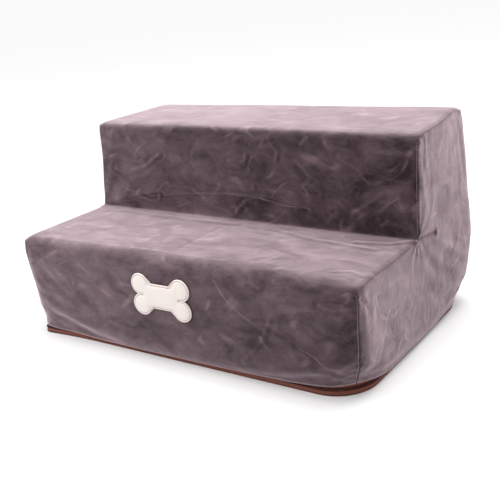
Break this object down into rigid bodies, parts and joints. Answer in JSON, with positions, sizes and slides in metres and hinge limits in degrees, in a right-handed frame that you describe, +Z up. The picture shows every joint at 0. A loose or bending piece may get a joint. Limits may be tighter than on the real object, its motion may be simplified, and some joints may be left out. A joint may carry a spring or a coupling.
{
  "type": "pet stairs",
  "caption": "Soft foam stairs for pets with a zipped velvet cover, a non-slip base and a padded bone patch on the front.",
  "frame": {"origin": "middle of the base's underside, on the floor", "axes": "+X to the right along the width, +Y to the back, +Z up; the low step faces -Y"},
  "size_m": [0.6, 0.4046, 0.315],
  "materials": {
    "foam": "open-cell polyurethane foam",
    "velvet": "crushed short-pile velvet, mauve grey",
    "seam_thread": "twisted polyester",
    "base_fabric": "brown woven polyester",
    "zip_tape": "brown herringbone tape",
    "zip_coil": "dark brown nylon coil",
    "zip_metal": "brown enamel on zinc",
    "felt": "reddish brown felt",
    "wadding": "polyester wadding",
    "bone_leather": "white imitation leather, fine grain",
    "bone_thread": "white polyester"
  },
  "bodies": {
    "stairs": {"lower_foam_block": "foam", "upper_foam_block": "foam", "cover_strip": "velvet", "cover_side_left": "velvet", "cover_side_right": "velvet", "seam_thread_left": "seam_thread", "seam_thread_right": "seam_thread", "base_panel": "base_fabric", "rear_band": "base_fabric", "zip_tape_lower": "zip_tape", "zip_tape_upper": "zip_tape", "zip_coil_lower": "zip_coil", "zip_coil_upper": "zip_coil", "zip_closed_stops": "zip_metal", "zip_open_stop": "zip_metal", "bone_felt": "felt", "bone_wadding": "wadding", "bone_face": "bone_leather", "bone_stitching": "bone_thread"},
    "slider": {"zip_slider": "zip_metal"},
    "puller": {"zip_pull_tab": "zip_metal"}
  },
  "joints": [
    {"name": "zip_slide", "type": "slide", "parent": "stairs", "child": "slider", "axis": [0, -1, 0], "range_m": [0, 0.235]},
    {"name": "pull_tab_hinge", "type": "hinge", "parent": "slider", "child": "puller", "pos_m": [-0.2965, 0.1172, 0.0103], "axis": [0, 0, -1], "range_deg": [0, 180]}
  ]
}
